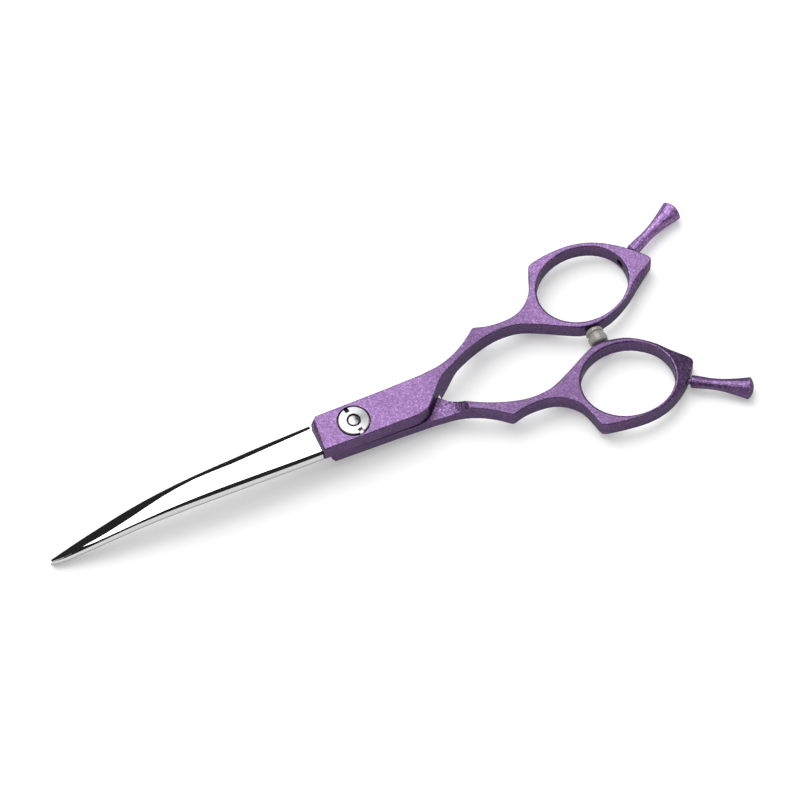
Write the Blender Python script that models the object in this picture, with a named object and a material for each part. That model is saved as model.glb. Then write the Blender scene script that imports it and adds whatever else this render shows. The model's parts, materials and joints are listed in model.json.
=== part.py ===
"""Curved grooming shears: two coated handles, two bowed blades and a tension pivot.

All driving dimensions are in millimetres; MM turns them into Blender's metres.
The shears are modelled in their own frame: the pivot axis is Z, the two halves meet on the plane z = 0,
+X points to the finger rings and +Y to the upper half's ring. The empty rest_frame then lays the closed
shears on a table, where they stand on the blade tip and the ends of both finger rests.
"""

import math

import bmesh
import bpy
import numpy as np
from mathutils import Matrix, Vector

MM = 0.001

# Shared clearances and cutters
HALF_GAP = 0.15          # each half keeps this far from the plane between them
SEAT_GAP = 0.3           # between pieces that seat on each other
OVERRUN = 2.0            # cutters run this far past the faces they open
WIDE = 40.0              # half width of cutters that go right across

# Handle castings; each is described in its own frame, with its outer face up
UPPER_HALF = {
    "block_height": 4.2,                # outer face of the pivot block over the meeting plane
    "slope_end_x": 56.0,                # the outer face has come down to ring height here
    "front_x": -9.9,
    "corner": (-8.2, 3.5),              # x on the far side and y on the front of the block's cut corner
    "scoop_x": (22.6, 23.7),            # start and end of the scoop that clears the other half's block
    "throat": 0.0,                      # how far the shank's root reaches towards the other half
    "flare": 1.3,                       # how far the inner face stands out where shank and block meet
    "draft": 0.7,                       # and along the block's spine side
    "horn_reach": 0.0,                  # how far the horn before the ring stands forward
    "side_reach": 0.25,                 # how far the ring's side stands out, behind its middle
    "rear_reach": 0.7,                  # how far the ring's rear corner stands out
    "rear_slope": 0.2,                  # how steeply the ring's inner face falls outwards at its rear
    "hole_centre": (67.65, 14.15),
    "hole_semi": (11.95, 10.1),
    "rest_base": (83.9, 19.5),          # where the finger rest's axis leaves the ring
    "rest_angle": math.radians(26.0),
    "rest_seat": -0.85,                 # the finger rest's collar starts here, on the rest's own axis
}
LOWER_HALF = {
    "block_height": 3.8,
    "slope_end_x": 36.0,
    "front_x": -7.6,
    "corner": (-7.0, 4.3),
    "scoop_x": (20.5, 28.2),
    "throat": 0.45,
    "flare": 0.0,
    "draft": 0.0,
    "horn_reach": 0.7,
    "side_reach": 0.7,
    "rear_reach": -0.9,
    "rear_slope": 0.36,
    "hole_centre": (67.5, 14.7),
    "hole_semi": (11.85, 10.25),
    "rest_base": (82.1, 20.3),
    "rest_angle": math.radians(30.5),
    "rest_seat": -0.05,
}
BLOCK_NEAR_Y = -4.7          # side of the block that carries on the blade's spine
BLOCK_FAR_Y = 4.95
BLOCK_SLOPE_START_X = 18.0
RING_HALF_HEIGHT = 2.6       # half the thickness of shank and finger ring
EDGE_FILLET = 0.32
HOLE_FILLET = 0.5
RING_ROUNDING = 0.9          # what the fillet grows by along the ring's inner side
RING_ROUNDING_X = (58.0, 74.0)
RING_ROUNDING_END = 4.0      # it shrinks again over this much of y before the rear corner
RING_FLAT = 0.3              # flat that the fillets leave on the ring's faces and on its edge
FILLET_STEPS = 3
FRONT_CHAMFER = [(0.15, 0.12), (1.4, 1.1)]    # along and down, on the spine side and on the other
HOLE_TILT = math.radians(9.0)
REAR_FALL_AXIS = math.radians(28.7)
REAR_FALL_START = 1.0        # distance from the ring centre, along that axis, where the face starts to fall
REAR_FALL_RUN = 8.0          # and over which the fall grows
SCOOP_DEPTH = 2.75
FLARE_X = (19.0, 24.5, 31.0)    # where the flare starts, is full and ends

# Blade
BLADE_TIP_X = -81.0
UPPER_SPINE = [(-7.5, -4.8), (-22.0, -4.78), (-32.0, -4.57), (-42.0, -4.1), (-51.0, -3.5), (-59.0, -3.02),
               (-67.0, -2.62), (-73.0, -2.2), (-79.6, -1.25), (BLADE_TIP_X, -0.8)]
LOWER_SPINE = [(-7.5, -4.35), (-21.0, -4.03), (-42.0, -3.4), (-60.0, -2.4), (-73.0, -1.1), (-79.6, -0.4),
               (BLADE_TIP_X, -0.2)]
EDGE_PLAN = [(-7.5, 4.8), (-13.0, 4.6), (-22.0, 4.25), (-32.0, 3.8), (-42.0, 3.56), (-51.0, 3.24),
             (-59.0, 2.73), (-67.0, 1.9), (-73.0, 1.27), (-79.6, 0.5), (BLADE_TIP_X, 0.35)]
BEVEL_RUN = [(-7.5, 1.4), (-13.0, 1.63), (-22.0, 1.93), (-32.0, 2.1), (-42.0, 1.78), (-51.0, 2.33),
             (-59.0, 3.1), (-67.0, 3.2), (-73.0, 2.7), (-76.0, 2.2), (-79.6, 1.1), (BLADE_TIP_X, 0.5)]
SPINE_HEIGHT = [(-7.5, 2.85), (-22.0, 2.85), (-42.0, 2.93), (-51.0, 2.78), (-59.0, 2.5), (-67.0, 2.28),
                (-73.0, 2.02), (-79.6, 1.4), (BLADE_TIP_X, 1.15)]    # over the meeting surface
SPINE_ROUND = [(-7.5, 0.7), (-42.0, 0.7), (-51.0, 0.52), (-60.0, 0.36), (-73.0, 0.4), (BLADE_TIP_X, 0.25)]
SPINE_ROUND_SHAPE = [(0.0, 1.0), (0.42, 0.45), (1.0, 0.0)]    # in from the spine and down from the face
STATIONS = [-13.0, -17.0, -22.0, -27.0, -32.0, -37.0, -42.0, -47.0, -51.0, -55.0, -59.0, -63.0, -67.0, -70.0,
            -73.0, -76.0, -78.0, -79.6, -80.5, BLADE_TIP_X]
BOW_START_X = -22.0
BOW_RADIUS = 164.0
SPINE_DRAFT = 0.3            # how far the spine's foot stands out
FULL_WIDTH = 2.5             # a narrower section has a shallower hollow
FACE_SLOPE = 0.14            # the ground face falls towards the cutting edge
FACE_LEAST = 0.15            # and is never narrower than this
BEVEL_SLOPE = 0.5            # and the bevel along it falls this steeply
EDGE_SLOPE = 2.5             # as does the sharpened edge itself
HOLLOW_DEPTH = 0.22
EDGE_LAND = 0.12
TANG_HALF_WIDTH = 3.7
TANG_HEIGHT = 1.5
TANG_END_X = 13.0
TANG_END_WIDTH = 1.0

# Pivot, all on the Z axis
NUT_RADIUS = 3.95
NUT_BOTTOM = 3.35
NUT_TOP = 4.65
NUT_RECESS_RADIUS = 4.25
NUT_RECESS_FLOOR = 2.55
NUT_BORE_RADIUS = 1.72
NUT_BORE_CHAMFER = 0.1
NUT_CROWN = 0.15             # the face rises this much from its rim to the bore
NUT_RIM = 0.25
NOTCH_WIDTH = 1.15
NOTCH_LENGTH = 1.35
NOTCH_DEPTH = 1.0
NOTCH_ANGLE = math.radians(101.0)
BOLT_END = 4.55
BOLT_END_CHAMFER = 0.12
BOLT_THREAD_RADIUS = 1.42
BOLT_SHANK_RADIUS = 1.6
BOLT_SHOULDER = 3.0
BOLT_NECK_WIDTH = 3.9
BOLT_NECK_TOP = -2.05
BOLT_HEAD_RADIUS = 3.7
BOLT_HEAD_CHAMFER = 0.3
BOLT_HEAD_TOP = -2.65
BOLT_HEAD_BOTTOM = -3.7
BUSH_OUTER_RADIUS = 2.3
BUSH_INNER_RADIUS = 1.8
BUSH_BOTTOM = 0.65
BUSH_TOP = 2.4
WASHER_OUTER_RADIUS = 3.1
WASHER_INNER_RADIUS = 1.9
WASHER_HALF_HEIGHT = 0.3
SPRING_OUTER_RADIUS = 3.7
SPRING_INNER_RADIUS = 2.1
SPRING_BOTTOM = 2.7
SPRING_RISE = 0.2
SPRING_THICKNESS = 0.25

# Finger rest, turned about its own axis
REST_LENGTH = 15.6
REST_STEM_LENGTH = 2.9
REST_STEM_RADIUS = 0.8
REST_STEM_CHAMFER = 0.25
REST_COLLAR_END = 0.9
REST_COLLAR_CHAMFER = 0.2
REST_COLLAR_RADIUS = 1.6
REST_WAIST = [(1.5, 3.2), (1.42, 5.0), (1.6, 8.0), (2.15, 11.4)]
REST_END_RADIUS = 2.8
REST_DOME = 1.1

# Bumper between the rings
BUMPER_X = 65.5
BUMPER_SEAT_Y = 2.5
BUMPER_LENGTH = 4.4
BUMPER_RADIUS = 2.45
BUMPER_STEM_RADIUS = 0.95
BUMPER_STEM_LENGTH = 1.2
BUMPER_PROFILE = [(0.86, 0.0), (0.94, 0.1), (0.94, 0.22), (0.8, 0.32), (0.8, 0.4), (0.96, 0.5), (1.0, 0.62),
                  (1.0, 0.8), (0.93, 0.93), (0.75, 1.0), (0.0, 1.0)]    # shares of its radius and length

COATING = (0.30, 0.13, 0.42, 1.0)
POLISHED_STEEL = (0.78, 0.78, 0.80, 1.0)
SPRING_STEEL = (0.52, 0.52, 0.55, 1.0)
BRONZE = (0.62, 0.44, 0.25, 1.0)
NYLON = (0.82, 0.80, 0.74, 1.0)
SILICONE = (0.62, 0.61, 0.54, 1.0)


def clear_scene():
    for thing in list(bpy.data.objects):
        bpy.data.objects.remove(thing)


def material(name, colour, roughness, metallic):
    made = bpy.data.materials.new(name)
    made.use_nodes = True
    shader = made.node_tree.nodes["Principled BSDF"]
    shader.inputs["Base Color"].default_value = colour
    shader.inputs["Roughness"].default_value = roughness
    shader.inputs["Metallic"].default_value = metallic
    return made


def smooth_step(t):
    t = min(max(t, 0.0), 1.0)
    return t * t * (3.0 - 2.0 * t)


def spline(points, step):
    """Points about one step apart on a smooth curve through the given points, without the last one."""
    ends = [2 * Vector(points[0]) - Vector(points[1]), 2 * Vector(points[-1]) - Vector(points[-2])]
    knots = [ends[0]] + [Vector(p) for p in points] + [ends[1]]
    path = []
    for before, start, end, after in zip(knots, knots[1:], knots[2:], knots[3:]):
        count = max(1, round((end - start).length / step))
        for i in range(count):
            t = i / count
            path.append(0.5 * (2 * start + (end - before) * t
                               + (2 * before - 5 * start + 4 * end - after) * t * t
                               + (3 * start - before - 3 * end + after) * t ** 3))
    return path


def along(points, x):
    """Height at x of a smooth curve through points, which run towards -X."""
    xs = [-p[0] for p in points]
    ys = [p[1] for p in points]
    slopes = np.gradient(ys, xs)
    i = min(max(int(np.searchsorted(xs, -x)) - 1, 0), len(xs) - 2)
    span = xs[i + 1] - xs[i]
    t = (-x - xs[i]) / span
    start = (2 * t ** 3 - 3 * t * t + 1) * ys[i] + (t ** 3 - 2 * t * t + t) * span * slopes[i]
    return start + (3 * t * t - 2 * t ** 3) * ys[i + 1] + (t ** 3 - t * t) * span * slopes[i + 1]


def add_object(name, bm, paint=None, smooth_angle=35.0):
    bmesh.ops.recalc_face_normals(bm, faces=bm.faces)
    mesh = bpy.data.meshes.new(name)
    bm.to_mesh(mesh)
    bm.free()
    mesh.transform(Matrix.Scale(MM, 4))
    mesh.shade_smooth()
    mesh.set_sharp_from_angle(angle=math.radians(smooth_angle))
    made = bpy.data.objects.new(name, mesh)
    bpy.context.collection.objects.link(made)
    if paint:
        mesh.materials.append(paint)
    return made


def bridge(bm, loops, closed_ends=True):
    """A closed skin over loops of equal length."""
    rings = [[bm.verts.new(p) for p in loop] for loop in loops]
    count = len(rings[0])
    for lower, upper in zip(rings, rings[1:]):
        for i in range(count):
            j = (i + 1) % count
            bm.faces.new((lower[i], lower[j], upper[j], upper[i]))
    if closed_ends:
        bm.faces.new(rings[0])
        bm.faces.new(rings[-1])
    return rings


def prism(name, outline, low, high, paint=None):
    bm = bmesh.new()
    bridge(bm, [[(p[0], p[1], z) for p in outline] for z in (low, high)])
    return add_object(name, bm, paint)


def side_prism(name, profile, half_width):
    """A solid with an (x, z) profile, extruded both ways along Y."""
    bm = bmesh.new()
    bridge(bm, [[(p[0], y, p[1]) for p in profile] for y in (-half_width, half_width)])
    return add_object(name, bm)


def turned(name, profile, sides, paint=None, ring=False):
    """A solid turned about Z from an (r, z) profile; a ring's profile is closed."""
    bm = bmesh.new()
    columns = []
    for k in range(sides):
        a = 2 * math.pi * k / sides
        columns.append([(r * math.cos(a), r * math.sin(a), z) for r, z in profile])
    if ring:
        bridge(bm, columns + columns[:1], closed_ends=False)
    else:
        bridge(bm, [[column[i] for column in columns] for i in range(len(profile))])
    bmesh.ops.remove_doubles(bm, verts=bm.verts, dist=1e-5)
    return add_object(name, bm, paint)


def ellipse(centre, semi, tilt, count):
    points = []
    for k in range(count):
        a = 2 * math.pi * k / count
        x, y = semi[0] * math.cos(a), semi[1] * math.sin(a)
        points.append(Vector((centre[0] + x * math.cos(tilt) - y * math.sin(tilt),
                              centre[1] + x * math.sin(tilt) + y * math.cos(tilt))))
    return points


def round_outline(radius, sides):
    return ellipse((0.0, 0.0), (radius, radius), 0.0, sides)


def square_outline(width):
    half = width / 2
    return [(-half, -half), (half, -half), (half, half), (-half, half)]


def boolean(target, cutter, operation="DIFFERENCE"):
    cutter.parent = target.parent
    cutter.hide_render = True
    cutter.display_type = "WIRE"
    step = target.modifiers.new(cutter.name, "BOOLEAN")
    step.operation = operation
    step.object = cutter
    step.solver = "EXACT"


def outward(outline):
    """Mitred outward normals of a counterclockwise outline."""
    normals = []
    count = len(outline)
    for i in range(count):
        a = (outline[i] - outline[i - 1]).normalized()
        b = (outline[(i + 1) % count] - outline[i]).normalized()
        mean = Vector((a.y + b.y, -a.x - b.x))
        mean.normalize()
        normals.append(mean / max(mean.dot(Vector((a.y, -a.x))), 0.5))
    return normals


# Handle

def handle_outline(half):
    """The casting in plan, counterclockwise from the end of the block's straight spine side.

    Returns the points and, for each, where its foot on the inner face stands from it.
    """
    reach = half["rear_reach"] * Vector((0.9, -0.6))
    aside = half["side_reach"] * Vector((0.5, 0.87))
    forward = half["horn_reach"] * Vector((-1.0, 0.0))
    nearer = half["throat"] * Vector((0.0, -1.0))
    horn_start = Vector((58.5, 24.65)) + forward
    horn_end = Vector((56.75, 23.0)) + forward
    corner_start = Vector((84.95, 13.5)) + reach
    corner_end = Vector((85.0, 15.95)) + reach
    inner = spline([(15.5, BLOCK_NEAR_Y), (18.4, -3.9), (20.4, -1.9), Vector((22.4, 0.4)) + nearer,
                    Vector((25.3, 3.3)) + 0.7 * nearer, (30.3, 6.0), (35.3, 8.2), (40.3, 9.7),
                    (44.5, 10.15), (49.0, 9.6), (54.0, 7.4), (59.0, 4.75), (62.5, 3.05), (65.5, 2.5),
                    (68.5, 2.8), (72.5, 4.2), Vector((77.0, 7.0)) + 0.3 * reach,
                    Vector((81.0, 10.1)) + 0.6 * reach, corner_start], 1.5)
    rear_corner = spline([corner_start, Vector((85.45, 14.25)) + reach, Vector((85.5, 15.1)) + reach,
                          corner_end], 0.45)
    rear = spline([corner_end, Vector((82.0, 19.0)) + 0.4 * reach + 0.6 * aside,
                   Vector((78.0, 21.95)) + aside, Vector((74.0, 24.1)) + aside,
                   Vector((70.0, 25.25)) + 0.7 * aside, Vector((66.5, 25.6)) + 0.3 * aside,
                   (62.0, 25.35), horn_start], 1.6)
    horn = spline([horn_start, Vector((57.3, 24.1)) + forward, horn_end], 0.7)
    throat = spline([horn_end, Vector((55.7, 20.0)) + 0.6 * forward, (54.1, 16.8), (51.5, 14.1),
                     (48.5, 12.55), (45.0, 12.05), (41.0, 12.2), (37.9, 13.0)], 1.5)
    outer = spline([(37.9, 13.0), (37.2, 12.95), (34.0, 10.4), (30.0, 7.95), (25.5, 6.3), (20.0, 5.5)], 1.5)
    front = [(20.0, 5.5), (10.0, 5.2), (half["corner"][0], BLOCK_FAR_Y), (half["front_x"], half["corner"][1]),
             (half["front_x"], BLOCK_NEAR_Y)]
    outline = inner + rear_corner + rear + horn + throat + outer + [Vector(p) for p in front]
    feet = [n * flare(p.x, half) for p, n in zip(inner, outward(outline))]
    feet += [Vector((0.0, 0.0))] * (len(outline) - len(inner) - 1) + [Vector((0.0, -half["draft"]))]
    return outline, feet


def flare(x, half):
    """How far the foot of the inner wall stands out at x."""
    start, full, end = FLARE_X
    share = min((x - start) / (full - start), (end - x) / (end - full))
    flared = half["flare"] * smooth_step(share)
    return max(flared, half["draft"]) if x < full else flared


def rear_fall(point, hole, half):
    """How far the ring's inner face has fallen at a point in plan, from the hole's rim outwards."""
    axis = Vector((math.cos(REAR_FALL_AXIS), math.sin(REAR_FALL_AXIS)))
    past = (point - Vector(half["hole_centre"])).dot(axis) - REAR_FALL_START
    outwards = max(distance(point, hole) - HOLE_FILLET, 0.0)
    return half["rear_slope"] * outwards * smooth_step(past / REAR_FALL_RUN)


def outer_height(x, half):
    share = smooth_step((x - BLOCK_SLOPE_START_X) / (half["slope_end_x"] - BLOCK_SLOPE_START_X))
    return half["block_height"] + (RING_HALF_HEIGHT - half["block_height"]) * share


def wall_loops(outline, feet, fillets, falls, half, sign):
    """Loops from the inner to the outer face, with filleted rims; sign is -1 round a hole."""
    quarter = [math.pi / 2 * k / FILLET_STEPS for k in range(FILLET_STEPS + 1)]
    normals = [n * sign for n in outward(outline)]
    loops = []
    for angle in quarter:
        inset, rise = 1.0 - math.sin(angle), 1.0 - math.cos(angle)
        loop = []
        for p, n, foot, fillet, fall in zip(outline, normals, feet, fillets, falls):
            low = -RING_HALF_HEIGHT + fall + rise * fillet
            loop.append((p + foot - n * inset * fillet).to_tuple() + (low,))
        loops.append(loop)
    for angle in reversed(quarter):
        inset, rise = 1.0 - math.sin(angle), 1.0 - math.cos(angle)
        loop = []
        for p, n, fillet in zip(outline, normals, fillets):
            high = outer_height(p.x, half) - rise * fillet
            loop.append((p - n * inset * fillet).to_tuple() + (high,))
        loops.append(loop)
    return loops


def distance(point, outline):
    """Distance in plan from a point to a closed outline."""
    shortest = math.inf
    for start, end in zip(outline, outline[1:] + outline[:1]):
        run = end - start
        share = min(max((point - start).dot(run) / run.length_squared, 0.0), 1.0)
        shortest = min(shortest, (point - start - share * run).length)
    return shortest


def outer_fillet(point, hole, half):
    """The fillet grows along the ring's inner side, as far as the ring's width and height leave room."""
    start, full = RING_ROUNDING_X
    share = smooth_step((point.x - start) / (full - start))
    share *= smooth_step((half["hole_centre"][1] - point.y) / RING_ROUNDING_END)
    room = distance(point, hole) - RING_FLAT
    height = RING_HALF_HEIGHT - rear_fall(point, hole, half) / 2 - RING_FLAT
    return min(EDGE_FILLET + RING_ROUNDING * share, max(room - HOLE_FILLET, room / 2), height)


def hole_fillet(point, outline):
    return min(HOLE_FILLET, (distance(point, outline) - RING_FLAT) / 2)


def ring_edges(bm, ring):
    return [bm.edges.get((ring[i - 1], ring[i])) for i in range(len(ring))]


def fill_faces(bm, walls, bore, hole, half):
    """Fills the inner and the outer face between their rims, with points inside that follow its height."""
    inside = []
    for end in (0, -1):
        rims = ring_edges(bm, walls[end]) + ring_edges(bm, bore[end])
        filled = bmesh.ops.triangle_fill(bm, edges=rims, use_beauty=True)["geom"]
        inside += [edge for edge in filled if isinstance(edge, bmesh.types.BMEdge)]
    made = bmesh.ops.subdivide_edges(bm, edges=inside, cuts=1)["geom_inner"]
    for vertex in made:
        if isinstance(vertex, bmesh.types.BMVert):
            outer = outer_height(vertex.co.x, half)
            inner = rear_fall(vertex.co.xy, hole, half) - RING_HALF_HEIGHT
            vertex.co.z = outer if vertex.co.z > 0.0 else inner


def handle_casting(name, half, paint):
    """Ring, shank and block as one casting, still without its seats and bores."""
    bm = bmesh.new()
    outline, feet = handle_outline(half)
    hole = ellipse(half["hole_centre"], half["hole_semi"], HOLE_TILT, 44)
    fillets = [outer_fillet(p, hole, half) for p in outline]
    falls = [rear_fall(p, hole, half) for p in outline]
    walls = bridge(bm, wall_loops(outline, feet, fillets, falls, half, 1.0), closed_ends=False)
    level = [0.0] * len(hole)
    plumb = [Vector((0.0, 0.0))] * len(hole)
    fillets = [hole_fillet(p, outline) for p in hole]
    bore = bridge(bm, wall_loops(hole, plumb, fillets, level, half, -1.0), closed_ends=False)
    fill_faces(bm, walls, bore, hole, half)
    return add_object(name, bm, paint)


def scoop_profile(half):
    """Everything past the meeting plane, ending in a scoop that runs out of the shank's inner face."""
    start, end = half["scoop_x"]
    run = end - start
    radius = (run ** 2 + SCOOP_DEPTH ** 2) / (2 * SCOOP_DEPTH)
    arc = []
    for x in np.linspace(0.0, run, 9):
        arc.append((start + x, HALF_GAP - radius + math.sqrt(radius ** 2 - x ** 2)))
    low = -RING_HALF_HEIGHT - OVERRUN
    front = half["front_x"] - OVERRUN
    return [(front, HALF_GAP)] + arc + [(end, low), (front, low)]


def tang_outline(front_x):
    """The pocket for the tang in plan, with a round end, open past the block's front."""
    half_width = TANG_HALF_WIDTH + SEAT_GAP
    centre_x = TANG_END_X - TANG_HALF_WIDTH
    quarter = math.pi / 2
    angles = np.linspace(-quarter, quarter, 13)
    arc = [(centre_x + half_width * math.cos(a), half_width * math.sin(a)) for a in angles]
    return [(front_x - OVERRUN, half_width), (front_x - OVERRUN, -half_width)] + arc


def rest_placement(half):
    """Lays a piece turned about Z along the finger rest's axis."""
    place = Matrix.Translation((half["rest_base"][0] * MM, half["rest_base"][1] * MM, 0.0))
    return place @ Matrix.Rotation(half["rest_angle"], 4, "Z") @ Matrix.Rotation(math.pi / 2, 4, "Y")


def bumper_placement():
    place = Matrix.Translation((BUMPER_X * MM, BUMPER_SEAT_Y * MM, 0.0))
    return place @ Matrix.Rotation(math.pi / 2, 4, "X")


def front_chamfer(name, half):
    """What comes off the block's front edge: more and more from the spine side to the other."""
    front, height = half["front_x"], half["block_height"]
    bm = bmesh.new()
    loops = []
    for y, (along_x, down) in zip((BLOCK_NEAR_Y - OVERRUN, BLOCK_FAR_Y + OVERRUN), FRONT_CHAMFER):
        past = OVERRUN / along_x
        profile = [(front - OVERRUN, height - down), (front, height - down),
                   (front + along_x + OVERRUN, height + down * past), (front - OVERRUN, height + down * past)]
        loops.append([(x, y, z) for x, z in profile])
    bridge(bm, loops)
    return add_object(name, bm)


def finish_handle(handle, half, parent):
    """Cuts what both castings have: scoop, front chamfer, tang pocket and tapped hole."""
    handle.parent = parent
    name = handle.name
    boolean(handle, side_prism(name + "_scoop_cutter", scoop_profile(half), WIDE))
    boolean(handle, front_chamfer(name + "_chamfer_cutter", half))
    ceiling = HALF_GAP + TANG_HEIGHT + SEAT_GAP
    boolean(handle, prism(name + "_tang_cutter", tang_outline(half["front_x"]), -OVERRUN, ceiling))
    hole = round_outline(REST_STEM_RADIUS + SEAT_GAP, 20)
    tapped_hole = prism(name + "_rest_cutter", hole, -REST_STEM_LENGTH - 2 * OVERRUN, OVERRUN)
    boolean(handle, tapped_hole)
    tapped_hole.matrix_local = rest_placement(half)


def upper_handle(parent, paint):
    """The nut sits in its block, and the bumper in its ring."""
    handle = handle_casting("upper_handle", UPPER_HALF, paint)
    finish_handle(handle, UPPER_HALF, parent)
    recess = round_outline(NUT_RECESS_RADIUS, 48)
    recess_top = UPPER_HALF["block_height"] + OVERRUN
    boolean(handle, prism("nut_recess_cutter", recess, NUT_RECESS_FLOOR, recess_top))
    bore = round_outline(BUSH_OUTER_RADIUS + SEAT_GAP, 32)
    boolean(handle, prism("bush_bore_cutter", bore, 0.0, NUT_RECESS_FLOOR + SEAT_GAP))
    stem_hole = round_outline(BUMPER_STEM_RADIUS + SEAT_GAP, 16)
    hole = prism("bumper_hole_cutter", stem_hole, -BUMPER_STEM_LENGTH - OVERRUN, OVERRUN)
    boolean(handle, hole)
    hole.matrix_local = bumper_placement()


def lower_handle(parent, paint):
    """Turned over about X; the bolt's head and square neck sit in its block."""
    handle = handle_casting("lower_handle", LOWER_HALF, paint)
    finish_handle(handle, LOWER_HALF, parent)
    recess_floor = -BOLT_HEAD_TOP - SEAT_GAP
    recess_top = LOWER_HALF["block_height"] + OVERRUN
    recess = round_outline(BOLT_HEAD_RADIUS + SEAT_GAP, 40)
    boolean(handle, prism("head_recess_cutter", recess, recess_floor, recess_top))
    neck_hole = square_outline(BOLT_NECK_WIDTH + 2 * SEAT_GAP)
    boolean(handle, prism("neck_hole_cutter", neck_hole, 0.0, recess_floor + SEAT_GAP))


# Blade

def bow(x):
    """How far the meeting surface of the blades has bowed down at x."""
    past = max(BOW_START_X - x, 0.0)
    return -past ** 2 / (2 * BOW_RADIUS)


def blade_section(x, spine_plan):
    """The ground section as (y, height over the meeting surface), from the spine's foot round to it again."""
    spine = along(spine_plan, x)
    edge = along(EDGE_PLAN, x)
    run = along(BEVEL_RUN, x)
    soft = along(SPINE_ROUND, x)
    width = edge - spine
    height = along(SPINE_HEIGHT, x)
    hollow = HOLLOW_DEPTH * min(1.0, width / FULL_WIDTH)
    ridge = max(edge - run, spine + soft + FACE_LEAST)
    ridge_height = height - FACE_SLOPE * (ridge - spine)
    edge_height = (ridge_height - BEVEL_SLOPE * (edge - ridge)) / (1.0 - BEVEL_SLOPE / EDGE_SLOPE)
    foot = (spine - SPINE_DRAFT, 0.0)
    back = [foot] + [(spine + soft * r, height - soft * d) for r, d in SPINE_ROUND_SHAPE]
    bevel = [(ridge, ridge_height), (edge - edge_height / EDGE_SLOPE, edge_height), (edge, EDGE_LAND)]
    ride = [(edge, 0.0), (edge - 0.15 * width, 0.6 * hollow), (edge - 0.5 * width, hollow),
            (spine + 0.15 * width, 0.6 * hollow)]
    return back + bevel + ride


def tang_section(x):
    """The tang's section, with as many points as the blade's."""
    past = max(x - TANG_END_X + TANG_HALF_WIDTH, 0.0)
    half = math.sqrt(max(TANG_HALF_WIDTH ** 2 - past ** 2, TANG_END_WIDTH ** 2 / 4))
    top = [(-half, 0.0), (-half, 0.6 * TANG_HEIGHT), (-half, TANG_HEIGHT), (-0.5 * half, TANG_HEIGHT),
           (0.5 * half, TANG_HEIGHT), (half, TANG_HEIGHT), (half, 0.6 * TANG_HEIGHT), (half, 0.0)]
    return top + [(0.5 * half, 0.0), (0.0, 0.0), (-0.5 * half, 0.0)]


def blade(name, side, half, parent, paint):
    """side is 1 for the upper blade and -1 for the lower, which lies below the meeting surface."""
    root_x = half["front_x"] - SEAT_GAP
    spine_plan = UPPER_SPINE if side > 0 else LOWER_SPINE
    tang_angles = np.linspace(math.pi / 2, 0.0, 7)
    tang_stations = [TANG_END_X + TANG_HALF_WIDTH * (math.sin(a) - 1.0) for a in tang_angles]
    loops = []
    for x in tang_stations + [root_x]:
        loops.append([(x, side * y, side * (HALF_GAP + h)) for y, h in tang_section(x)])
    for x in [root_x] + STATIONS:
        section = blade_section(x, spine_plan)
        loops.append([(x, side * y, bow(x) + side * (HALF_GAP + h)) for y, h in section])
    bm = bmesh.new()
    bridge(bm, loops)
    made = add_object(name, bm, paint, smooth_angle=22.0)
    made.parent = parent
    sleeve_radius = BUSH_OUTER_RADIUS if side > 0 else BOLT_SHANK_RADIUS
    low, high = sorted((-side * OVERRUN, side * (TANG_HEIGHT + OVERRUN)))
    boolean(made, prism(name + "_bore_cutter", round_outline(sleeve_radius + SEAT_GAP, 32), low, high))
    recess = WASHER_HALF_HEIGHT + SEAT_GAP
    washer_seat = round_outline(WASHER_OUTER_RADIUS + SEAT_GAP, 32)
    boolean(made, prism(name + "_washer_cutter", washer_seat, -recess, recess))


# Pivot

def tension_nut(parent, paint):
    """A flat nut with a crowned face and two spanner notches in its rim."""
    rim_top = NUT_TOP - NUT_CROWN
    outline = [(NUT_BORE_RADIUS, NUT_BOTTOM), (NUT_RADIUS - NUT_RIM, NUT_BOTTOM),
               (NUT_RADIUS, NUT_BOTTOM + NUT_RIM), (NUT_RADIUS, rim_top - NUT_RIM),
               (NUT_RADIUS - NUT_RIM, rim_top), (NUT_BORE_RADIUS + NUT_BORE_CHAMFER, NUT_TOP),
               (NUT_BORE_RADIUS, NUT_TOP - NUT_BORE_CHAMFER)]
    nut = turned("tension_nut", outline, 56, paint, ring=True)
    nut.parent = parent
    inner = NUT_RADIUS - NOTCH_LENGTH
    outer = NUT_RADIUS + OVERRUN
    side = NOTCH_WIDTH / 2
    slot = [(inner, -side), (outer, -side), (outer, side), (inner, side)]
    for k, angle in enumerate((NOTCH_ANGLE, NOTCH_ANGLE + math.pi)):
        cutter = prism("notch_cutter_%d" % k, slot, NUT_TOP - NOTCH_DEPTH, NUT_TOP + OVERRUN)
        cutter.matrix_local = Matrix.Rotation(angle, 4, "Z")
        boolean(nut, cutter)


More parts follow.
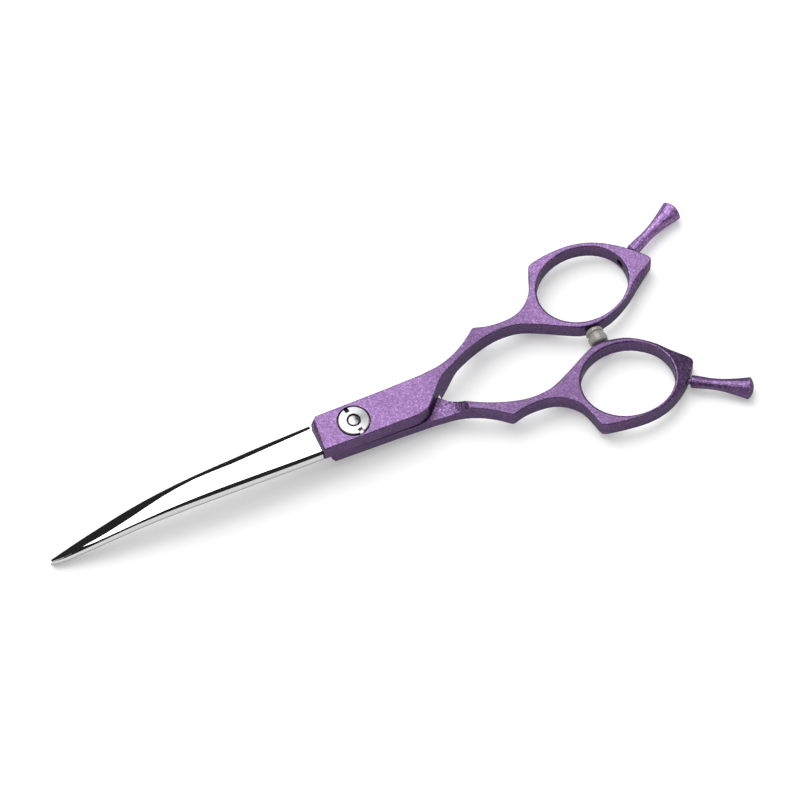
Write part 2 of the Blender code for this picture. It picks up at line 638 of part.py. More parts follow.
def pivot_bolt(parent, paint):
    """Flat head below, square neck in the lower half, plain shank and a threaded end inside the nut."""
    outline = [(0.0, BOLT_HEAD_BOTTOM), (BOLT_HEAD_RADIUS - BOLT_HEAD_CHAMFER, BOLT_HEAD_BOTTOM),
               (BOLT_HEAD_RADIUS, BOLT_HEAD_BOTTOM + BOLT_HEAD_CHAMFER), (BOLT_HEAD_RADIUS, BOLT_HEAD_TOP),
               (BOLT_SHANK_RADIUS, BOLT_HEAD_TOP), (BOLT_SHANK_RADIUS, BOLT_SHOULDER),
               (BOLT_THREAD_RADIUS, BOLT_SHOULDER), (BOLT_THREAD_RADIUS, BOLT_END - BOLT_END_CHAMFER),
               (BOLT_THREAD_RADIUS - BOLT_END_CHAMFER, BOLT_END), (0.0, BOLT_END)]
    bolt = turned("pivot_bolt", outline, 40, paint)
    bolt.parent = parent
    head_middle = 0.5 * (BOLT_HEAD_TOP + BOLT_HEAD_BOTTOM)
    boolean(bolt, prism("bolt_neck", square_outline(BOLT_NECK_WIDTH), head_middle, BOLT_NECK_TOP), "UNION")


def sleeve(name, inner, outer, low, high, parent, paint):
    ring = turned(name, [(inner, low), (outer, low), (outer, high), (inner, high)], 40, paint, ring=True)
    ring.parent = parent


def tension_spring(parent, paint):
    """A coned washer that pushes the nut away from the floor of its recess."""
    top = SPRING_BOTTOM + SPRING_RISE
    outline = [(SPRING_INNER_RADIUS, top), (SPRING_OUTER_RADIUS, SPRING_BOTTOM),
               (SPRING_OUTER_RADIUS, SPRING_BOTTOM + SPRING_THICKNESS),
               (SPRING_INNER_RADIUS, top + SPRING_THICKNESS)]
    turned("tension_spring", outline, 40, paint, ring=True).parent = parent


# Finger rests and bumper

def finger_rest(name, half, parent, paint):
    """One turned piece: threaded stem, collar, waist and a flared, domed end."""
    stem = [(0.0, -REST_STEM_LENGTH), (REST_STEM_RADIUS - REST_STEM_CHAMFER, -REST_STEM_LENGTH),
            (REST_STEM_RADIUS, -REST_STEM_LENGTH + REST_STEM_CHAMFER), (REST_STEM_RADIUS, half["rest_seat"])]
    collar = [(REST_COLLAR_RADIUS - REST_COLLAR_CHAMFER, half["rest_seat"]),
              (REST_COLLAR_RADIUS, half["rest_seat"] + REST_COLLAR_CHAMFER)]
    shoulder = (REST_END_RADIUS, REST_LENGTH - REST_DOME)
    waist = spline([(REST_COLLAR_RADIUS, REST_COLLAR_END)] + REST_WAIST + [shoulder], 1.2)
    dome_radius = (REST_END_RADIUS ** 2 + REST_DOME ** 2) / (2 * REST_DOME)
    dome = []
    for r in np.linspace(REST_END_RADIUS, 0.0, 5):
        dome.append((r, REST_LENGTH - dome_radius + math.sqrt(dome_radius ** 2 - r ** 2)))
    rest = turned(name, stem + collar + [p.to_tuple() for p in waist] + dome, 28, paint)
    rest.parent = parent
    rest.matrix_local = rest_placement(half)


def bumper(parent, paint):
    """A silicone stop: plain stem in the ring, flange, groove and a rounded body."""
    stem_radius = BUMPER_STEM_RADIUS
    stem = [(0.0, -BUMPER_STEM_LENGTH), (stem_radius, -BUMPER_STEM_LENGTH), (stem_radius, SEAT_GAP)]
    span = BUMPER_LENGTH - SEAT_GAP
    body = [(BUMPER_RADIUS * r, SEAT_GAP + span * t) for r, t in BUMPER_PROFILE]
    stop = turned("bumper", stem + body, 26, paint)
    stop.parent = parent
    stop.matrix_local = bumper_placement()


def settle(frame):
    """Tilts and lifts the frame until blade tip and finger rests stand on z = 0, with the box centred."""
    bpy.context.view_layer.update()
    graph = bpy.context.evaluated_depsgraph_get()
    clouds = []
    for thing in bpy.data.objects:
        if thing.type == "MESH" and not thing.hide_render:
            solid = thing.evaluated_get(graph)
            clouds += [solid.matrix_world @ v.co for v in solid.data.vertices]
    points = np.array(clouds)
    low, high = 0.0, math.radians(10.0)
    for _ in range(40):
        tilt = 0.5 * (low + high)
        heights = points[:, 2] * math.cos(tilt) - points[:, 0] * math.sin(tilt)
        if heights[points[:, 0] < 0].min() < heights[points[:, 0] > 0].min():
            low = tilt
        else:
            high = tilt
    frame.rotation_euler.y = tilt
    turned_points = points @ np.array(Matrix.Rotation(tilt, 3, "Y").transposed())
    middle = 0.5 * (turned_points.min(axis=0) + turned_points.max(axis=0))
    frame.location = (-middle[0], -middle[1], -turned_points[:, 2].min())


def main():
    clear_scene()
    frame = bpy.data.objects.new("rest_frame", None)
    bpy.context.collection.objects.link(frame)
    flipped = bpy.data.objects.new("lower_frame", None)
    bpy.context.collection.objects.link(flipped)
    flipped.parent = frame
    flipped.rotation_euler.x = math.pi

    upper_handle(frame, material("upper_coating", COATING, 0.35, 0.8))
    lower_handle(flipped, material("lower_coating", COATING, 0.35, 0.8))
    blade("upper_blade", 1, UPPER_HALF, frame, material("upper_steel", POLISHED_STEEL, 0.08, 1.0))
    blade("lower_blade", -1, LOWER_HALF, frame, material("lower_steel", POLISHED_STEEL, 0.08, 1.0))

    tension_nut(frame, material("nut_steel", POLISHED_STEEL, 0.2, 1.0))
    pivot_bolt(frame, material("bolt_steel", POLISHED_STEEL, 0.25, 1.0))
    tension_spring(frame, material("spring_steel", SPRING_STEEL, 0.35, 1.0))
    sleeve("pivot_bush", BUSH_INNER_RADIUS, BUSH_OUTER_RADIUS, BUSH_BOTTOM, BUSH_TOP, frame,
           material("bush_bronze", BRONZE, 0.4, 1.0))
    sleeve("ride_washer", WASHER_INNER_RADIUS, WASHER_OUTER_RADIUS, -WASHER_HALF_HEIGHT, WASHER_HALF_HEIGHT,
           frame, material("washer_nylon", NYLON, 0.5, 0.0))

    finger_rest("upper_finger_rest", UPPER_HALF, frame, material("upper_rest_coating", COATING, 0.35, 0.8))
    finger_rest("lower_finger_rest", LOWER_HALF, flipped, material("lower_rest_coating", COATING, 0.35, 0.8))
    bumper(frame, material("bumper_silicone", SILICONE, 0.3, 0.0))
    settle(frame)


main()
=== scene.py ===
"""Materials, light and camera for the curved grooming shears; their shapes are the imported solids."""

import json
import math

import bpy
from mathutils import Matrix, Vector

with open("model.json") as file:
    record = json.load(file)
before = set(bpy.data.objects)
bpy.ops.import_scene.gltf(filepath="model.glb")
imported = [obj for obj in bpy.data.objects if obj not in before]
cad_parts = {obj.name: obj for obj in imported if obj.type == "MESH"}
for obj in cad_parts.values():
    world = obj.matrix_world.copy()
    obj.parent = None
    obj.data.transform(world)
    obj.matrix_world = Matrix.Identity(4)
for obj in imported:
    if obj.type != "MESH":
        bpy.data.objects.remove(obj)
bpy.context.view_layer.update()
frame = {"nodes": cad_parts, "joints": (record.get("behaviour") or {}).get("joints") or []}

MM = 0.001
NODES = frame["nodes"]


# Shears' own frame: origin on the pivot, z along its axis, x towards the finger rings

def shears_frame():
    pivot = next(j for j in frame["joints"] if j["name"] == "blade_pivot")
    z = Vector(pivot["axis"]).normalized()
    x = Vector((0.0, 1.0, 0.0)).cross(z).normalized()
    y = z.cross(x)
    turn = Matrix((x, y, z)).transposed().to_4x4()
    return Matrix.Translation(pivot["pos_m"]) @ turn


SHEARS = shears_frame()
SHEARS_TURN = SHEARS.to_3x3()
TO_TIP = SHEARS_TURN @ Vector((-1.0, 0.0, 0.0))
FAR_SIDE = SHEARS_TURN @ Vector((0.0, 1.0, 0.0))
PIVOT_AXIS = SHEARS_TURN @ Vector((0.0, 0.0, 1.0))


# Node helpers

class Tree:
    """The node tree of a material or a world, with short calls for adding nodes and links."""

    def __init__(self, owner, shader="Principled BSDF"):
        owner.use_nodes = True
        self.owner = owner
        self.tree = owner.node_tree
        self.shader = self.tree.nodes[shader]

    def add(self, kind, **settings):
        node = self.tree.nodes.new(kind)
        for name, value in settings.items():
            setattr(node, name, value)
        return node

    def put(self, socket, value):
        """Links a node's output to a socket, or sets the socket to a plain value."""
        if isinstance(value, bpy.types.NodeSocket):
            self.tree.links.new(value, socket)
        else:
            socket.default_value = value

    def set(self, **values):
        for name, value in values.items():
            self.put(self.shader.inputs[name.replace("_", " ")], value)

    def math(self, operation, a, b=0.0, clamp=False):
        node = self.add("ShaderNodeMath", operation=operation, use_clamp=clamp)
        self.put(node.inputs[0], a)
        self.put(node.inputs[1], b)
        return node.outputs[0]

    def vector(self, operation, a, b=(0.0, 0.0, 0.0), scale=None):
        node = self.add("ShaderNodeVectorMath", operation=operation)
        self.put(node.inputs[0], a)
        self.put(node.inputs[1], b)
        if scale is not None:
            self.put(node.inputs["Scale"], scale)
        return node.outputs["Value" if operation in ("DOT_PRODUCT", "LENGTH") else "Vector"]

    def remap(self, value, low, high, to_low, to_high, kind="LINEAR"):
        node = self.add("ShaderNodeMapRange", interpolation_type=kind)
        for name, v in zip(("Value", "From Min", "From Max", "To Min", "To Max"),
                           (value, low, high, to_low, to_high)):
            self.put(node.inputs[name], v)
        return node.outputs["Result"]

    def mix(self, share, a, b):
        node = self.add("ShaderNodeMix", data_type="RGBA")
        self.put(node.inputs["Factor"], share)
        self.put(node.inputs["A"], a)
        self.put(node.inputs["B"], b)
        return node.outputs["Result"]

    def position(self, origin=(0.0, 0.0, 0.0)):
        """Object coordinates, from an origin."""
        place = self.add("ShaderNodeTexCoord").outputs["Object"]
        return self.vector("SUBTRACT", place, origin)

    def surface(self):
        """The surface's normal, and how far it points along the pivot axis."""
        normal = self.add("ShaderNodeNewGeometry").outputs["Normal"]
        return normal, self.vector("DOT_PRODUCT", normal, PIVOT_AXIS)

    def noise(self, place, size, detail=2.0, roughness=0.5):
        """Noise with features of about the given size in metres."""
        node = self.add("ShaderNodeTexNoise")
        self.put(node.inputs["Vector"], place)
        self.put(node.inputs["Scale"], 1.0 / size)
        self.put(node.inputs["Detail"], detail)
        self.put(node.inputs["Roughness"], roughness)
        return node.outputs["Fac"]

    def flakes(self, place, size):
        """A random colour for each flake of the given size in metres."""
        node = self.add("ShaderNodeTexVoronoi", feature="F1")
        self.put(node.inputs["Vector"], place)
        self.put(node.inputs["Scale"], 1.0 / size)
        return node.outputs["Color"]

    def bump(self, height, distance, strength=1.0, normal=None):
        node = self.add("ShaderNodeBump")
        self.put(node.inputs["Height"], height)
        self.put(node.inputs["Distance"], distance)
        self.put(node.inputs["Strength"], strength)
        if normal is not None:
            self.put(node.inputs["Normal"], normal)
        return node.outputs["Normal"]


def tone(colour, level=1.0):
    """A colour at a level of brightness, with full alpha."""
    return [level * c for c in colour] + [1.0]


WHITE = tone((1.0, 1.0, 1.0))
NOISE_MIDDLE = (0.3, 0.7)        # the range that most of a noise lies in


# Sparkle coat of the handles and finger rests

COAT_BASE = (0.086, 0.046, 0.114)
COAT_PALE = (0.318, 0.190, 0.410)        # of the brightest flakes
COAT_EDGE = tone((0.42, 0.50, 0.45))     # what the coat keeps of its shine at grazing angles
COARSE_FLAKE, FINE_FLAKE = 0.28 * MM, 0.14 * MM
FLAKE_MIDDLE = (0.5, 0.5, 0.5)           # of the flakes' random colours
FLAKE_LEAN = 0.25                        # sideways, against a surface normal of 1
FLAKE_ROUGHNESS = 0.06                   # by how much a flake is smoother or rougher than the coat
STANDING, LYING = 0.15, 0.6              # how far the normals of such faces point along the pivot axis
GLINT_POWER = 3.0                        # a higher power leaves fewer bright flakes
GLINT_STANDING, GLINT_LYING = 0.35, 0.85
CLOUD_SIZE, CLOUD_SHARE = 6.0 * MM, 0.15
LINE_WIDTH = 0.3 * MM
LINE_SQUEEZE = 0.95                      # share of a line's length that is taken out of its noise
LINE_NOISE = (0.35, 0.65)
LINE_SHARE = (-0.2, 0.3)                 # of the pale colour, in the darkest and the palest lines
PEEL_SIZE, PEEL_HEIGHT = 0.9 * MM, 0.004 * MM


def sparkle_coat(name, level, roughness, painted_wall_level=1.0, brushed=None):
    """A metallic coat: flakes that each lean their own way, under a thin clear layer.

    level scales its colour, and painted_wall_level scales it once more on faces that stand up from the
    cutting plane: below 1 it is painted shade on those walls, above 1 painted light;
    brushed is the direction of fine lines under the coat, where it has them.
    """
    t = Tree(bpy.data.materials.new(name))
    place = t.position()
    coarse = t.flakes(place, COARSE_FLAKE)
    fine = t.flakes(place, FINE_FLAKE)
    lean = t.vector("SUBTRACT", t.mix(0.5, coarse, fine), FLAKE_MIDDLE)
    lean = t.vector("SCALE", lean, scale=FLAKE_LEAN)
    surface, facing = t.surface()
    normal = t.vector("NORMALIZE", t.vector("ADD", surface, lean))
    split = t.add("ShaderNodeSeparateColor")
    t.put(split.inputs[0], coarse)
    bright, rough = split.outputs[0], split.outputs[1]
    lying = t.math("ABSOLUTE", facing)
    # each flake gets a random tone; on standing faces fewer flakes are pale, which also darkens those walls
    # as painted shade
    glint = t.math("MULTIPLY", t.math("POWER", bright, GLINT_POWER),
                   t.remap(lying, STANDING, LYING, GLINT_STANDING, GLINT_LYING))
    cloud = t.noise(place, CLOUD_SIZE, detail=3.0)
    share = t.math("ADD", glint, t.math("MULTIPLY", cloud, CLOUD_SHARE))
    if brushed is not None:
        lengthwise = t.math("MULTIPLY", t.vector("DOT_PRODUCT", place, brushed), LINE_SQUEEZE)
        squeezed = t.vector("SUBTRACT", place, t.vector("SCALE", brushed, scale=lengthwise))
        lines = t.noise(squeezed, LINE_WIDTH, detail=1.0)
        share = t.math("ADD", share, t.remap(lines, *LINE_NOISE, *LINE_SHARE))
    colour = t.mix(share, tone(COAT_BASE, level), tone(COAT_PALE, level))
    # painted shade or painted light on the walls, by painted_wall_level: the colour scaled once more on faces
    # that stand up from the cutting plane
    painted_wall_cover = t.remap(lying, STANDING, LYING, painted_wall_level, 1.0)
    t.set(Base_Color=t.vector("SCALE", colour, scale=painted_wall_cover), Metallic=1.0, Normal=normal)
    t.set(Roughness=t.remap(rough, 0.0, 1.0, roughness - FLAKE_ROUGHNESS, roughness + FLAKE_ROUGHNESS))
    t.set(Specular_Tint=COAT_EDGE, Coat_Weight=0.1, Coat_Roughness=0.12, Coat_IOR=1.5)
    t.set(Coat_Normal=t.bump(t.noise(place, PEEL_SIZE, detail=1.0), PEEL_HEIGHT))
    return t.owner


# Mirror steel of the blades

STEEL_DARK, STEEL_PALE = tone((0.55, 0.55, 0.56)), tone((0.61, 0.61, 0.62))
# painted shade: a dark grey laid along the seam between the blades
SEAM_PAINTED_SHADE = tone((0.31, 0.305, 0.295))
MARK_WIDTH, MARK_DEPTH = 0.25 * MM, 0.002 * MM
MARK_SCALE = (0.05, 1.0, 1.0)                    # draws the polishing marks out along the shears
MARK_NOISE, MARK_ROUGHNESS = (0.35, 0.75), (0.02, 0.07)
SMEAR_SIZE = 14.0 * MM
SMEAR_NOISE, SMEAR_ROUGHNESS = (0.4, 0.7), (0.0, 0.03)
BOW_START, BOW_RADIUS = 22.0 * MM, 164.0 * MM    # of the blades, from the pivot on
INNER_REACH = (0.6 * MM, 0.9 * MM)               # from the seam: where the inner face begins to end, and ends
INNER_FACING = (0.7, 0.85)                       # along the pivot axis: where it begins, and is full
GROUND_REACH = (14.0 * MM, 26.0 * MM)            # from the pivot: where the grinding begins to end, and ends
GROUND_ROUGHNESS = 0.42
SEAM_SHADE_REACH = (0.4 * MM, 0.9 * MM)                 # from the seam: where the painted shade begins to end, and ends
SEAM_SHADE_FACING = (0.3, 0.5)                          # along the pivot axis: where it begins to end, and ends


def mirror_steel(name):
    """Polished steel with faint lengthwise polishing marks.

    Near the pivot its inner face is ground dull, and a line of painted shade lies along the seam of the
    blades.
    """
    t = Tree(bpy.data.materials.new(name))
    place = t.position()
    stretch = t.add("ShaderNodeMapping", vector_type="POINT")
    t.put(stretch.inputs["Vector"], place)
    t.put(stretch.inputs["Scale"], MARK_SCALE)
    marks = t.noise(stretch.outputs["Vector"], MARK_WIDTH, detail=3.0, roughness=0.6)
    smears = t.noise(place, SMEAR_SIZE, detail=3.0)
    rough = t.math("ADD", t.remap(marks, *MARK_NOISE, *MARK_ROUGHNESS),
                   t.remap(smears, *SMEAR_NOISE, *SMEAR_ROUGHNESS))
    out = t.position(SHEARS.translation)
    past = t.math("SUBTRACT", t.vector("DOT_PRODUCT", out, TO_TIP), BOW_START)
    past = t.math("MAXIMUM", past, 0.0)
    drop = t.math("MULTIPLY", t.math("MULTIPLY", past, past), 0.5 / BOW_RADIUS)
    from_seam = t.math("ABSOLUTE", t.math("ADD", t.vector("DOT_PRODUCT", out, PIVOT_AXIS), drop))
    lying = t.math("ABSOLUTE", t.surface()[1])
    inner = t.remap(from_seam, *INNER_REACH, 1.0, 0.0)
    ground = t.math("MULTIPLY", inner, t.remap(lying, *INNER_FACING, 0.0, 1.0))
    ground = t.math("MULTIPLY", ground, t.remap(t.vector("LENGTH", out), *GROUND_REACH, 1.0, 0.0))
    rough = t.math("MAXIMUM", rough, t.math("MULTIPLY", ground, GROUND_ROUGHNESS))
    # painted shade along the seam between the blades, on faces that stand up from the cutting plane
    painted_shade = t.remap(from_seam, *SEAM_SHADE_REACH, 1.0, 0.0)
    painted_shade = t.math("MULTIPLY", painted_shade, t.remap(lying, *SEAM_SHADE_FACING, 1.0, 0.0))
    clean = t.mix(smears, STEEL_DARK, STEEL_PALE)
    t.set(Base_Color=t.mix(painted_shade, clean, SEAM_PAINTED_SHADE), Metallic=1.0)
    t.set(Roughness=rough, Normal=t.bump(marks, MARK_DEPTH, strength=0.3))
    return t.owner


FACET_ANGLE = math.radians(2.5)          # the edges between the facets of the bow are shallower
WELD_DISTANCE = 0.001 * MM


def smooth_shading(angle):
    """Geometry nodes that shade edges shallower than an angle as parts of one curved surface."""
    group = bpy.data.node_groups.new("smooth_shading", "GeometryNodeTree")
    for way in ("INPUT", "OUTPUT"):
        group.interface.new_socket("Geometry", in_out=way, socket_type="NodeSocketGeometry")
    source, merge, edge, steep, shade, result = [group.nodes.new(kind) for kind in (
        "NodeGroupInput", "GeometryNodeMergeByDistance", "GeometryNodeInputMeshEdgeAngle",
        "FunctionNodeCompare", "GeometryNodeSetMeshNormal", "NodeGroupOutput")]
    merge.inputs["Distance"].default_value = WELD_DISTANCE
    steep.inputs["B"].default_value = angle
    shade.inputs["Remove Custom"].default_value = True
    for a, b in ((source.outputs[0], merge.inputs["Geometry"]), (merge.outputs[0], shade.inputs["Mesh"]),
                 (edge.outputs["Unsigned Angle"], steep.inputs["A"]), (shade.outputs[0], result.inputs[0]),
                 (steep.outputs[0], shade.inputs["Edge Sharpness"])):
        group.links.new(a, b)
    return group


# Turned steel of the nut and the bolt

NUT_STEEL, BOLT_STEEL = (0.42, 0.42, 0.43), (0.36, 0.36, 0.37)
NUT_RIM, BOLT_RIM = 4.45 * MM, 4.4 * MM          # heights of the rims of their faces, in the shears' frame
BOLT_DOME = 0.18 / MM
GROOVE_WIDTH, GROOVE_DEPTH = 0.12 * MM, 0.004 * MM
GROOVE_LEVEL = 0.92                              # of the steel's colour
GROOVE_ROUGHNESS = (0.3, 0.42)
# painted shade: a near-black colour laid in the recesses under the face, on the far side and round the rim
RECESS_PAINTED_SHADE = tone((0.008, 0.008, 0.008))
SHADE_HEIGHT = (-0.25 * MM, -0.05 * MM)            # from the rim of the face: where it is full, and ends
SHADE_FAR = (0.0, 1.0 * MM)                        # to the far side: where it begins, and is full
SHADE_OUTWARD = (3.65 * MM, 3.85 * MM)             # from the pivot: the same
SHADE_UPWARD = (0.3, 0.7)                          # along the pivot axis: the same


def turned_steel(name, colour, rim_height, dome=0.0):
    """Steel with turning marks round the pivot, and painted shade under its face, on the far side and at the
    rim.

    dome is how far the face leans outwards, for each metre from the pivot.
    """
    t = Tree(bpy.data.materials.new(name))
    out = t.position(SHEARS @ Vector((0.0, 0.0, rim_height)))
    height = t.vector("DOT_PRODUCT", out, PIVOT_AXIS)
    radial = t.vector("SUBTRACT", out, t.vector("SCALE", PIVOT_AXIS, scale=height))
    radius = t.vector("LENGTH", radial)
    turning = t.add("ShaderNodeTexNoise", noise_dimensions="1D")
    t.put(turning.inputs["W"], radius)
    t.put(turning.inputs["Scale"], 1.0 / GROOVE_WIDTH)
    t.put(turning.inputs["Detail"], 3.0)
    grooves = turning.outputs["Fac"]
    tangent = t.vector("NORMALIZE", t.vector("CROSS_PRODUCT", PIVOT_AXIS, radial))
    turn = t.add("ShaderNodeVectorTransform", vector_type="VECTOR", convert_from="OBJECT", convert_to="WORLD")
    t.put(turn.inputs[0], tangent)
    face = t.mix(grooves, tone(colour, GROOVE_LEVEL), tone(colour))
    sunk = t.remap(height, *SHADE_HEIGHT, 1.0, 0.0)
    far = t.remap(t.vector("DOT_PRODUCT", out, FAR_SIDE), *SHADE_FAR, 0.0, 1.0)
    rim = t.remap(radius, *SHADE_OUTWARD, 0.0, 1.0)
    surface, facing = t.surface()
    upward = t.remap(facing, *SHADE_UPWARD, 0.0, 1.0)
    # painted shade where the face is sunk, on the far side and round the rim, on faces that point up
    painted_shade = t.math("MULTIPLY", t.math("MULTIPLY", sunk, t.math("MAXIMUM", far, rim)), upward)
    leaning = t.vector("SCALE", radial, scale=t.math("MULTIPLY", upward, dome))
    domed = t.vector("NORMALIZE", t.vector("ADD", surface, leaning))
    t.set(Base_Color=t.mix(painted_shade, face, RECESS_PAINTED_SHADE), Metallic=1.0, Anisotropic=0.9)
    t.set(Roughness=t.remap(grooves, *NOISE_MIDDLE, *GROOVE_ROUGHNESS))
    t.set(Tangent=turn.outputs[0], Normal=t.bump(grooves, GROOVE_DEPTH, strength=0.4, normal=domed))
    return t.owner


# Inner pieces and the bumper

SPRING_STEEL, SPRING_ROUGHNESS = (0.52, 0.52, 0.55), 0.32
BRONZE, BRONZE_ROUGHNESS = (0.62, 0.44, 0.25), 0.4
METAL_GRAIN, METAL_GRAIN_LEVEL = 0.15 * MM, 0.85
METAL_ROUGHNESS = (-0.05, 0.08)          # added to a metal's own, in its smoothest and roughest grains
NYLON_DARK, NYLON_PALE = tone((0.76, 0.74, 0.68)), tone((0.84, 0.82, 0.76))
NYLON_GRAIN = 0.2 * MM
NYLON_ROUGHNESS = (0.45, 0.6)
GRAIN_DEPTH = 0.01 * MM
SILICONE_DARK, SILICONE_PALE = tone((0.27, 0.25, 0.24)), tone((0.36, 0.34, 0.32))
SILICONE_HAZE = 1.6 * MM
SILICONE_ROUGHNESS = (0.14, 0.22)
SILICONE_GRAIN, SILICONE_GRAIN_DEPTH = 0.18 * MM, 0.006 * MM


def plain_metal(name, colour, roughness):
    """Metal with a fine, even grain."""
    t = Tree(bpy.data.materials.new(name))
    grain = t.noise(t.position(), METAL_GRAIN, detail=3.0)
    t.set(Base_Color=t.mix(grain, tone(colour, METAL_GRAIN_LEVEL), tone(colour)), Metallic=1.0)
    smoother, rougher = METAL_ROUGHNESS
    t.set(Roughness=t.remap(grain, *NOISE_MIDDLE, roughness + smoother, roughness + rougher))
    t.set(Normal=t.bump(grain, GRAIN_DEPTH, strength=0.4))
    return t.owner


def nylon(name):
    t = Tree(bpy.data.materials.new(name))
    grain = t.noise(t.position(), NYLON_GRAIN)
    t.set(Base_Color=t.mix(grain, NYLON_DARK, NYLON_PALE))
    t.set(Roughness=t.remap(grain, *NOISE_MIDDLE, *NYLON_ROUGHNESS))
    t.set(Normal=t.bump(grain, GRAIN_DEPTH, strength=0.4))
    return t.owner


def silicone(name):
    """Milky, half clear rubber with a faint moulded grain."""
    t = Tree(bpy.data.materials.new(name))
    place = t.position()
    haze = t.noise(place, SILICONE_HAZE)
    grain = t.noise(place, SILICONE_GRAIN)
    t.set(Base_Color=t.mix(haze, SILICONE_DARK, SILICONE_PALE))
    t.set(Roughness=t.remap(grain, *NOISE_MIDDLE, *SILICONE_ROUGHNESS))
    t.set(Normal=t.bump(grain, SILICONE_GRAIN_DEPTH, strength=0.3))
    t.set(Transmission_Weight=0.25, IOR=1.45, Specular_IOR_Level=0.8)
    return t.owner


# Each piece gets its material, and the blades the shading of their bow

UPPER_REST_ANGLE = math.radians(26.0)    # in plan, in the shears' frame
upper_rest_lines = SHEARS_TURN @ Vector((math.cos(UPPER_REST_ANGLE), math.sin(UPPER_REST_ANGLE), 0.0))
steel = mirror_steel("mirror_steel")
MATERIALS = {
    # painted shade on the upper handle's standing walls
    "upper_handle": sparkle_coat("sparkle_coat", level=0.96, roughness=0.38, painted_wall_level=0.92),
    # painted shade: the lower handle's coat is darker overall for how the light falls on it, and its standing
    # walls are painted lighter again
    "lower_handle": sparkle_coat("lower_shaded_sparkle_coat", level=0.68, roughness=0.38, painted_wall_level=1.4),
    # painted light: the upper rest's coat is much paler than the lower rest's, for the light that falls on it
    "upper_finger_rest": sparkle_coat("upper_rest_lit_coat", level=1.7, roughness=0.55, brushed=upper_rest_lines),
    "lower_finger_rest": sparkle_coat("lower_rest_coat", level=0.95, roughness=0.46),
    "upper_blade": steel,
    "lower_blade": steel,
    "tension_nut": turned_steel("turned_nut_steel", NUT_STEEL, NUT_RIM),
    "pivot_bolt": turned_steel("turned_bolt_steel", BOLT_STEEL, BOLT_RIM, BOLT_DOME),
    "tension_spring": plain_metal("spring_steel", SPRING_STEEL, SPRING_ROUGHNESS),
    "pivot_bush": plain_metal("bearing_bronze", BRONZE, BRONZE_ROUGHNESS),
    "ride_washer": nylon("washer_nylon"),
    "bumper": silicone("clear_silicone"),
}
for node, material in MATERIALS.items():
    NODES[node].data.materials.clear()
    NODES[node].data.materials.append(material)

bow_shading = smooth_shading(FACET_ANGLE)
for blade in ("upper_blade", "lower_blade"):
    NODES[blade].modifiers.new("bow_shading", "NODES").node_group = bow_shading


# Floor

FLOOR_HALF = 8.0
FLOOR_ALBEDO, FLOOR_VARIATION = 0.66, 0.01
FLOOR_PATCH = 0.4
FLOOR_LIFT = 0.32            # what the floor gives to reach white where it is not shaded


def make_floor():
    bpy.ops.mesh.primitive_plane_add(size=2 * FLOOR_HALF)
    floor = bpy.context.object
    floor.name = "floor"
    t = Tree(bpy.data.materials.new("pale_floor"))
    patches = t.noise(t.position(), FLOOR_PATCH)
    dark, pale = [tone(WHITE[:3], FLOOR_ALBEDO + step) for step in (-FLOOR_VARIATION, FLOOR_VARIATION)]
    t.set(Base_Color=t.mix(patches, dark, pale), Roughness=1.0)
    t.set(Specular_IOR_Level=0.0, Emission_Color=WHITE)
    path = t.add("ShaderNodeLightPath").outputs
    seen = t.math("ADD", path["Is Camera Ray"], path["Is Glossy Ray"])
    seen = t.math("ADD", seen, path["Is Transmission Ray"], clamp=True)
    t.set(Emission_Strength=t.math("MULTIPLY", seen, FLOOR_LIFT))
    floor.data.materials.append(t.owner)


# Light

SOFTBOX_ENERGY = 2.6
SOFTBOX_ANGLE = math.radians(52.0)
SOFTBOX_TOWARDS = (-0.08, 0.54, 0.838)
ROOM_DIM, ROOM_SIDES, ROOM_ABOVE = 0.03, 0.75, 3.0
SIDES_REACH = (0.45, 0.8)        # how far a direction points sideways: where the sides begin, and are full
ABOVE_REACH = (0.88, 0.97)       # how far it points upwards: the same


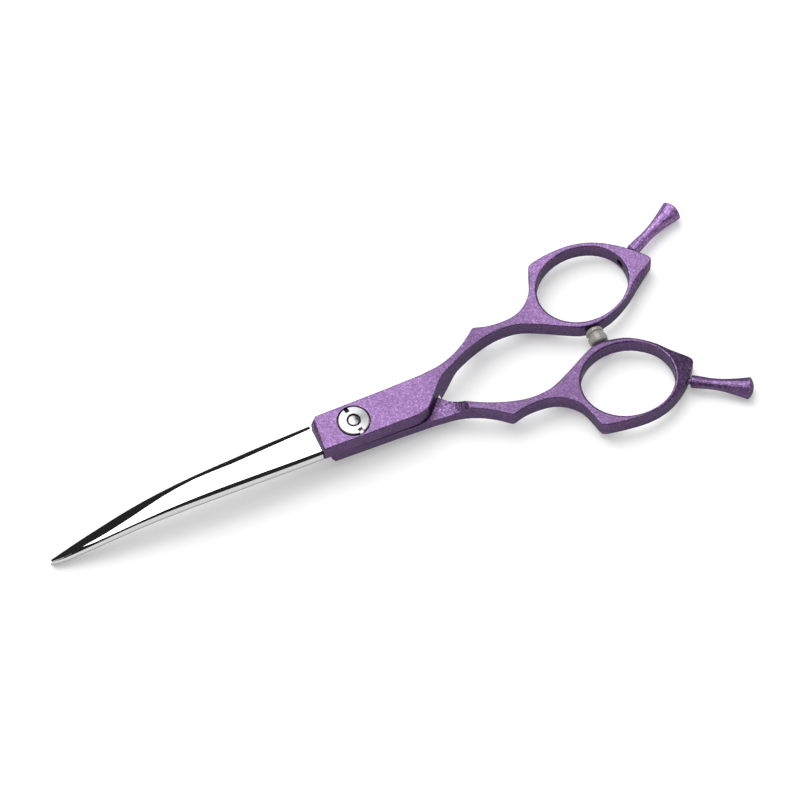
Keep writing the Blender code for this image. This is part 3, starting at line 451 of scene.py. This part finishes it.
def make_light():
    """One very large soft source above and behind the shears, in a room bright overhead and at its sides."""
    lamp = bpy.data.lights.new("softbox", "SUN")
    lamp.energy = SOFTBOX_ENERGY
    lamp.angle = SOFTBOX_ANGLE
    light = bpy.data.objects.new("softbox", lamp)
    bpy.context.scene.collection.objects.link(light)
    light.rotation_euler = Vector(SOFTBOX_TOWARDS).to_track_quat("Z", "Y").to_euler()
    world = bpy.data.worlds.new("studio_room")
    bpy.context.scene.world = world
    t = Tree(world, "Background")
    split = t.add("ShaderNodeSeparateXYZ")
    t.put(split.inputs[0], t.add("ShaderNodeTexCoord").outputs["Generated"])
    aside = t.math("ABSOLUTE", split.outputs["X"])
    sides = t.remap(aside, *SIDES_REACH, ROOM_DIM, ROOM_SIDES, "SMOOTHSTEP")
    above = t.remap(split.outputs["Z"], *ABOVE_REACH, 0.0, ROOM_ABOVE, "SMOOTHSTEP")
    t.set(Color=WHITE, Strength=t.math("ADD", sides, above))


# Camera, placed in the shears' frame

CAMERA_AZIMUTH = math.radians(-22.9)
CAMERA_ELEVATION = math.radians(62.0)
CAMERA_DISTANCE = 2500.0 * MM
CAMERA_LENS = 456.2
CAMERA_CLIP = (0.1, 30.0)
NUT_TOP = Vector((0.0, 0.0, 4.65 * MM))
AIM_RIGHT, AIM_UP = 11.418 * MM, 4.907 * MM    # from the nut's top to the middle of the picture


def make_camera():
    a, e = CAMERA_AZIMUTH, CAMERA_ELEVATION
    right = Vector((math.cos(a), math.sin(a), 0.0))
    back = Vector((math.sin(a) * math.cos(e), -math.cos(a) * math.cos(e), math.sin(e)))
    up = back.cross(right)
    place = NUT_TOP + right * AIM_RIGHT + up * AIM_UP + back * CAMERA_DISTANCE
    data = bpy.data.cameras.new("camera")
    data.lens = CAMERA_LENS
    data.clip_start, data.clip_end = CAMERA_CLIP
    camera = bpy.data.objects.new("camera", data)
    bpy.context.scene.collection.objects.link(camera)
    turn = Matrix((right, up, back)).transposed().to_4x4()
    camera.matrix_world = SHEARS @ Matrix.Translation(place) @ turn
    bpy.context.scene.camera = camera


make_floor()
make_light()
make_camera()
bpy.context.scene.view_settings.view_transform = "Standard"
